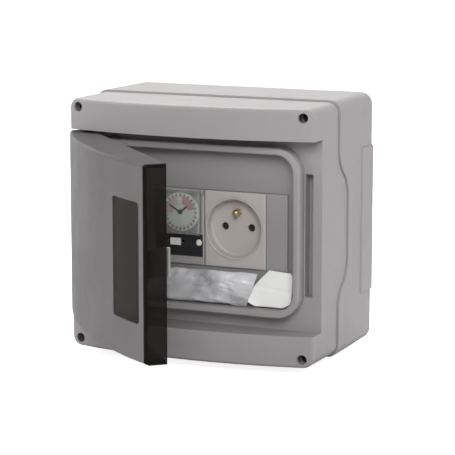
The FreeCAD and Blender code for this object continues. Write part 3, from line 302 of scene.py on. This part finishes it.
ENCLOSURE_GREY = (0.335, 0.319, 0.324)
# Painted shade: the door is the enclosure's own plastic, with its grey darkened to 0.7.
DOOR_GREY_PAINTED_SHADE = tuple(0.7 * part for part in ENCLOSURE_GREY)
paint(moulded("enclosure_plastic", ENCLOSURE_GREY, 0.52), "base_shell", "cover_frame")
paint(moulded("door_plastic_painted_shade", DOOR_GREY_PAINTED_SHADE, 0.5), "door_shell")
paint(moulded("mask_plastic", (0.275, 0.267, 0.27), 0.5), "inner_mask")
paint(moulded("blank_plastic", (0.32, 0.31, 0.312), 0.5), "slot_blanks", "door_catch")
paint(moulded("module_plastic", (0.36, 0.352, 0.34), 0.42, grain=0.25 * MM), "timer_housing",
      "terminal_block")
paint(moulded("selector_plastic", (0.72, 0.72, 0.7), 0.35, grain=0.2 * MM), "timer_selector")
paint(moulded("socket_plastic", (0.5, 0.46, 0.445), 0.36, grain=0.2 * MM), "socket_housing", "socket_well")
paint(moulded("black_plastic", (0.018, 0.018, 0.019), 0.42, gloss=0.5), "timer_panel", "timer_rail_clip",
      "socket_rail_clip", "socket_shutter", "timer_hour_hand", "timer_minute_hand")
paint(moulded("indicator_plastic", (0.78, 0.76, 0.68), 0.25, grain=0.15 * MM), "timer_indicator")
paint(moulded("tappet_plastic", (0.62, 0.24, 0.23), 0.35, grain=0.15 * MM, edge=0.1 * MM), "timer_tappets")
paint(metal("dark_zinc", (0.06, 0.058, 0.055), 0.45), "cover_screws")
paint(metal("zinc_plate", (0.42, 0.42, 0.43), 0.34), "mask_screws", "rail_screws",
      "timer_terminal_screws", "socket_terminal_screws", "terminal_screws", "hinge_pin_upper",
      "hinge_pin_lower")
paint(metal("rail_steel", (0.55, 0.55, 0.56), 0.3, (1.0, 30.0, 30.0)), "din_rail", "timer_motor")
paint(metal("pin_brass", (0.62, 0.5, 0.28), 0.28), "socket_earth_pin", "socket_contacts")
paint(rubber("seal_rubber", (0.17, 0.165, 0.165)), "cover_gasket", "door_seal")
paint(rubber("grommet_rubber", (0.07, 0.07, 0.072)), "cable_grommets")
paint(rubber("brown_sheath", (0.11, 0.045, 0.02)), "wire_live")
paint(rubber("blue_sheath", (0.02, 0.08, 0.3)), "wire_neutral")
paint(rubber("black_sheath", (0.015, 0.015, 0.015)), "wire_switched")
paint(earth_lead("earth_sheath"), "wire_earth")
paint(thin_clear("smoked_pane", (0.66, 0.62, 0.59), 0.1, 0.04, (0.2, 0.19, 0.18)), "door_window")
paint(thin_clear("smoked_edge", (0.3, 0.275, 0.26), 0.12, 0.03, (0.1, 0.09, 0.085)), "door_edge_strip")
paint(thin_clear("clear_sheet", (0.95, 0.96, 0.96), 0.06, 0.03, (0.8, 0.8, 0.8)), "timer_flap")
dial_low, dial_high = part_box("timer_dial")
paint(dial_face("dial_print", (dial_low + dial_high) / 2), "timer_dial")


# ---------------------------------------------------------------- leaflet and pouch

def new_piece(name, mesh, body, material):
    """A smooth-shaded object that rides on a body."""
    piece = bpy.data.objects.new(name, mesh)
    bpy.context.scene.collection.objects.link(piece)
    mesh.materials.append(material)
    for polygon in mesh.polygons:
        polygon.use_smooth = True
    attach(piece, body)
    return piece


def along(table, height):
    """Read a (height, place) table between its rows."""
    for (low, start), (high, end) in zip(table, table[1:]):
        if height <= high:
            return start + (end - start) * (height - low) / (high - low)
    return table[-1][1]


# Where the leaflet's two side edges are at each height, as parts of its width and its height.
LEAFLET_LEFT = ((0.0, 0.19), (0.13, 0.0), (0.4, 0.05), (0.72, 0.27), (1.0, 0.48))
LEAFLET_RIGHT = ((0.0, 0.8), (0.14, 0.98), (0.6, 1.0), (0.93, 1.0), (1.0, 0.95))
# How far each ply lies behind the first one.
PLY_BACKS = (0.0, 0.35 * MM, 0.75 * MM)
PAPER_THICKNESS = 0.12 * MM
FOOT_DROP = 1.6 * MM


def leaflet():
    """A folded leaflet leaning in the window, its left corners turned down."""
    low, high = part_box("instruction_sheet")
    width = high.x - low.x + 2.0 * MM
    foot = low.z - FOOT_DROP
    tall = high.z - foot
    across, up = 40, 30
    mesh = bpy.data.meshes.new("leaflet")
    build = bmesh.new()
    for ply, back in enumerate(PLY_BACKS):
        inset = ply * 0.02
        rows = []
        for j in range(up + 1):
            v = j / up
            left, right = along(LEAFLET_LEFT, v) + inset, along(LEAFLET_RIGHT, v) - inset * 0.4
            row = []
            for i in range(across + 1):
                u = i / across
                x = low.x + width * (left + (right - left) * u)
                bow = 0.5 * MM * math.sin(math.pi * u) * v
                curl = 1.6 * MM * max(0.0, 1.0 - u * 3.5) ** 2 * max(0.0, 1.0 - abs(v - 0.12) * 4.0)
                ripple = 0.18 * MM * noise.noise(Vector((u * 4.0, v * 5.0, ply * 0.3)))
                crease = 0.35 * MM * max(0.0, 1.0 - abs(v - 0.55 + 0.1 * u) * 14.0)
                lean = 1.5 * MM * (1.0 - v)
                y = high.y - 0.9 * MM - lean + back * (1.0 - 0.5 * v) - bow - curl - ripple + crease
                row.append(build.verts.new((x, y, foot + tall * v * (1.0 - 0.04 * u) - inset * 4.0 * MM)))
            rows.append(row)
        for j in range(up):
            for i in range(across):
                build.faces.new((rows[j][i], rows[j][i + 1], rows[j + 1][i + 1], rows[j + 1][i]))
    build.to_mesh(mesh)
    build.free()
    piece = new_piece("leaflet", mesh, "enclosure", paper("leaflet_paper"))
    thicken = piece.modifiers.new("sheet", "SOLIDIFY")
    thicken.thickness = PAPER_THICKNESS
    thicken.offset = 0.0
    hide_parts("instruction_sheet")


def film(name):
    """Thin clear film: mostly see-through, with white milky patches that are also painted glare, and a
    white layer on its creases that reflects and also paints glints.
    """
    shader = Shader(name)
    crumple = shader.node("TexVoronoi", feature="DISTANCE_TO_EDGE")
    stretched = shader.node("Mapping")
    shader.feed(stretched, Vector=shader.place, Scale=(1.0, 1.0, 2.2))
    shader.feed(crumple, Vector=stretched.outputs["Vector"], Scale=95.0)
    creases = shader.math("ADD", crumple.outputs["Distance"], shader.grain(120.0, 3.0, 0.55, 1.0))
    normal = shader.bump(creases, 0.6, 0.5 * MM)
    haze_and_glare_noise = shader.grain(32.0, 3.0, 0.55, 0.5)
    through = shader.node("BsdfTransparent")
    shader.feed(through, Color=rgba(0.97, 0.975, 0.98))
    # The white base colour is the milky haze, and also the painted glare and glints laid over the
    # see-through film.
    shader.feed(shader.surface, Base_Color=rgba(0.9, 0.9, 0.92), Normal=normal, IOR=1.5,
                Roughness=shader.remap(haze_and_glare_noise, 0.3, 0.7, 0.06, 0.22),
                Coat_Weight=0.6, Coat_Roughness=0.05, Coat_Normal=normal)
    fresnel = shader.node("Fresnel")
    shader.feed(fresnel, IOR=1.55, Normal=normal)
    # Patches of the white layer: milky haze and painted glare.
    milky_and_painted_glare = shader.remap(haze_and_glare_noise, 0.35, 0.64, 0.12, 0.75)
    # Fresnel boosted 1.6 times shows the white layer on grazing creases: real reflection from its specular,
    # and painted glints from its white colour.
    glint = shader.math("MULTIPLY", fresnel.outputs["Fac"], 1.6)
    lay_over(shader, shader.math("ADD", glint, milky_and_painted_glare, clamp=True), through)
    return shader.material


def pouch_sheets(half, across, up, lean):
    """The two films of an inflated bag with ridges along it; its right end leans out at the top."""
    build = bmesh.new()
    for side in (-1, 1):
        rows = []
        for j in range(up + 1):
            row = []
            for i in range(across + 1):
                u, v = 2 * i / across - 1, 2 * j / up - 1
                bulge = (1 - u ** 6) * (1 - v ** 4)
                ridge = 1.0 - abs(noise.noise(Vector((u * 5.0, v * 4.0 + u, side * 4.0)))) * 3.0
                wave = noise.noise(Vector((u * 2.0, v * 1.3, 9.0 + side)))
                puff = min(0.92, max(0.12, 0.5 + 0.24 * ridge + 0.5 * wave))
                sag = 0.05 * noise.noise(Vector((u * 4.0, 3.0, 1.0))) * (1 + v)
                x = u * half.x * 0.99 + lean * max(0.0, u) ** 2 * (v + 1) / 2
                z = half.z * (v * 0.97 - 0.02 - sag * 0.6)
                row.append(build.verts.new((x, side * half.y * bulge * puff, z)))
            rows.append(row)
        for j in range(up):
            for i in range(across):
                corners = (rows[j][i], rows[j][i + 1], rows[j + 1][i + 1], rows[j + 1][i])
                build.faces.new(corners if side < 0 else corners[::-1])
    bmesh.ops.remove_doubles(build, verts=build.verts, dist=1e-4)
    mesh = bpy.data.meshes.new("film_pouch")
    build.to_mesh(mesh)
    build.free()
    return mesh


def crumple_by_cloth(piece, half, steps):
    """Let the film shrink and pull under a little air pressure, then keep the shape inside its block."""
    mesh = piece.data
    cloth = piece.modifiers.new("cloth", "CLOTH")
    cloth.settings.quality = 8
    cloth.settings.mass = 0.1
    cloth.settings.tension_stiffness = 40
    cloth.settings.compression_stiffness = 40
    cloth.settings.bending_stiffness = 0.05
    cloth.settings.shrink_min = -0.1
    cloth.settings.use_pressure = True
    cloth.settings.uniform_pressure_force = 0.8
    cloth.settings.effector_weights.gravity = 0.0
    cloth.point_cache.frame_end = steps
    for step in range(1, steps + 1):
        bpy.context.scene.frame_set(step)
    shaped = piece.evaluated_get(bpy.context.evaluated_depsgraph_get()).to_mesh()
    moved = [vertex.co.copy() for vertex in shaped.vertices]
    piece.modifiers.remove(cloth)
    bpy.context.scene.frame_set(1)
    for vertex, after in zip(mesh.vertices, moved):
        shift = after - vertex.co
        shift.length = min(shift.length, 0.5 * half.y)
        spot = vertex.co + shift
        spot.y = max(-half.y, min(half.y, spot.y))
        spot.z = max(-half.z, min(half.z, spot.z))
        vertex.co = spot


CLOTH_SCALE = 10.0
CLOTH_STEPS = 16
POUCH_LEAN = 9.0 * MM


def pouch():
    """A clear film bag that stands on the window ledge, crumpled at ten times its size."""
    low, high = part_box("document_pouch")
    half = (high - low) / 2 * CLOTH_SCALE
    mesh = pouch_sheets(half, 96, 30, POUCH_LEAN * CLOTH_SCALE)
    piece = bpy.data.objects.new("film_pouch", mesh)
    bpy.context.scene.collection.objects.link(piece)
    crumple_by_cloth(piece, half, CLOTH_STEPS)
    centre = (low + high) / 2
    for vertex in mesh.vertices:
        vertex.co = vertex.co / CLOTH_SCALE + centre
    for polygon in mesh.polygons:
        polygon.use_smooth = True
    mesh.materials.append(film("pouch_film"))
    smooth = piece.modifiers.new("smooth", "SUBSURF")
    smooth.levels = smooth.render_levels = 1
    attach(piece, "enclosure")
    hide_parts("document_pouch")


leaflet()
pouch()


# ---------------------------------------------------------------- light, floor and camera

def area_light(name, place, aim, size, power):
    """A white rectangular light; places and sizes in metres, power in watts."""
    data = bpy.data.lights.new(name, "AREA")
    data.shape = "RECTANGLE"
    data.size, data.size_y = size
    data.energy = power
    light = bpy.data.objects.new(name, data)
    light.location = place
    light.rotation_mode = "QUATERNION"
    light.rotation_quaternion = (Vector(aim) - Vector(place)).to_track_quat("-Z", "Y")
    bpy.context.scene.collection.objects.link(light)
    return light


def keep_off(light, *names):
    """Flag a light off some nodes."""
    flagged = bpy.data.collections.new(light.name + "_flag")
    for name in names:
        flagged.objects.link(NODES[name])
    for entry in flagged.collection_objects:
        entry.light_linking.link_state = "EXCLUDE"
    light.light_linking.receiver_collection = flagged


def seen_and_lit(tree, seen, lit):
    """Show one shader to the camera and let another one light the scene."""
    path = tree.nodes.new("ShaderNodeLightPath")
    blend = tree.nodes.new("ShaderNodeMixShader")
    tree.links.new(path.outputs["Is Camera Ray"], blend.inputs[0])
    tree.links.new(lit, blend.inputs[1])
    tree.links.new(seen, blend.inputs[2])
    return blend.outputs[0]


TENT_DIM = 0.07
TENT_BRIGHT = 0.42
TENT_BRIGHT_SIDE = (0.73, 0.68, 0.0)


def tent():
    """A white surround that lights softly, brightest behind on the right and dim at the left front."""
    world = bpy.data.worlds.new("tent")
    world.use_nodes = True
    tree = world.node_tree
    lit = tree.nodes["Background"]
    seen = tree.nodes.new("ShaderNodeBackground")
    seen.inputs["Color"].default_value = rgba(1.0, 1.0, 1.0)
    seen.inputs["Strength"].default_value = 1.06
    facing = tree.nodes.new("ShaderNodeVectorMath")
    facing.operation = "DOT_PRODUCT"
    facing.inputs[1].default_value = TENT_BRIGHT_SIDE
    tree.links.new(tree.nodes.new("ShaderNodeTexCoord").outputs["Generated"], facing.inputs[0])
    slope = tree.nodes.new("ShaderNodeMapRange")
    slope.inputs["From Min"].default_value = -1.0
    slope.inputs["To Min"].default_value = TENT_DIM
    slope.inputs["To Max"].default_value = TENT_BRIGHT
    tree.links.new(facing.outputs["Value"], slope.inputs["Value"])
    tree.links.new(slope.outputs["Result"], lit.inputs["Strength"])
    lit.inputs["Color"].default_value = rgba(1.0, 0.99, 0.985)
    shown = seen_and_lit(tree, seen.outputs[0], lit.outputs[0])
    tree.links.new(shown, tree.nodes["World Output"].inputs["Surface"])
    return world


FLOOR_GAP = 0.2 * MM


def pale_floor():
    """White paper that glows for the camera, so that only a faint contact shadow is left on it."""
    mesh = bpy.data.meshes.new("floor")
    build = bmesh.new()
    bmesh.ops.create_grid(build, x_segments=2, y_segments=2, size=6.0)
    build.to_mesh(mesh)
    build.free()
    floor = bpy.data.objects.new("floor", mesh)
    floor.location = (0.0, 0.0, CAD_BOX[0].z - FLOOR_GAP)
    bpy.context.scene.collection.objects.link(floor)
    shader = Shader("floor_paper")
    tone = shader.mix(shader.remap(shader.grain(8.0, 4.0), 0.4, 0.7, 0.0, 0.3), rgba(0.6, 0.6, 0.6),
                      rgba(0.56, 0.56, 0.56))
    shader.feed(shader.surface, Base_Color=tone, Roughness=0.85, Specular_IOR_Level=0.1)
    glow = shader.node("Emission")
    shader.feed(glow, Color=rgba(1.0, 1.0, 1.0), Strength=0.85)
    both = shader.node("AddShader")
    shader.feed(both, _0=glow.outputs[0], _1=shader.surface.outputs[0])
    shown = seen_and_lit(shader.tree, both.outputs[0], shader.surface.outputs[0])
    shader.feed(shader.output, Surface=shown)
    mesh.materials.append(shader.material)


def studio():
    """A pale floor under a soft tent, with five large lights around the enclosure."""
    bpy.context.scene.world = tent()
    bpy.context.scene.view_settings.view_transform = "Standard"
    pale_floor()
    middle = (0.0, -0.06, 0.0)
    key = area_light("key_above", (-0.5, 0.45, 1.1), middle, (1.4, 0.8), 23.0)
    keep_off(key, "door_shell")
    area_light("fill_right", (1.35, 0.55, 0.3), middle, (0.8, 0.9), 9.6)
    area_light("fill_front", (0.58, -1.25, 0.72), middle, (0.8, 0.6), 13.0)
    fill = area_light("fill_left", (-0.9, -1.1, 0.5), middle, (0.7, 0.6), 7.0)
    keep_off(fill, "door_shell", "door_window")
    area_light("rim_left", (-1.15, 0.8, 0.25), middle, (0.6, 0.8), 3.5)


CAMERA_PLACE = Vector((0.5749, -1.3281, 0.2362))
CAMERA_AIM = Vector((0.0269, -0.1052, 0.0042))
CAMERA_LENS = 164.8


def camera():
    """A long lens to the right of the enclosure and a little above it."""
    data = bpy.data.cameras.new("camera")
    data.sensor_width = 36.0
    data.lens = CAMERA_LENS
    data.clip_start = 0.05
    data.clip_end = 50.0
    made = bpy.data.objects.new("camera", data)
    made.location = CAMERA_PLACE
    made.rotation_mode = "QUATERNION"
    made.rotation_quaternion = (CAMERA_AIM - CAMERA_PLACE).to_track_quat("-Z", "Y")
    bpy.context.scene.collection.objects.link(made)
    bpy.context.scene.camera = made


studio()
camera()
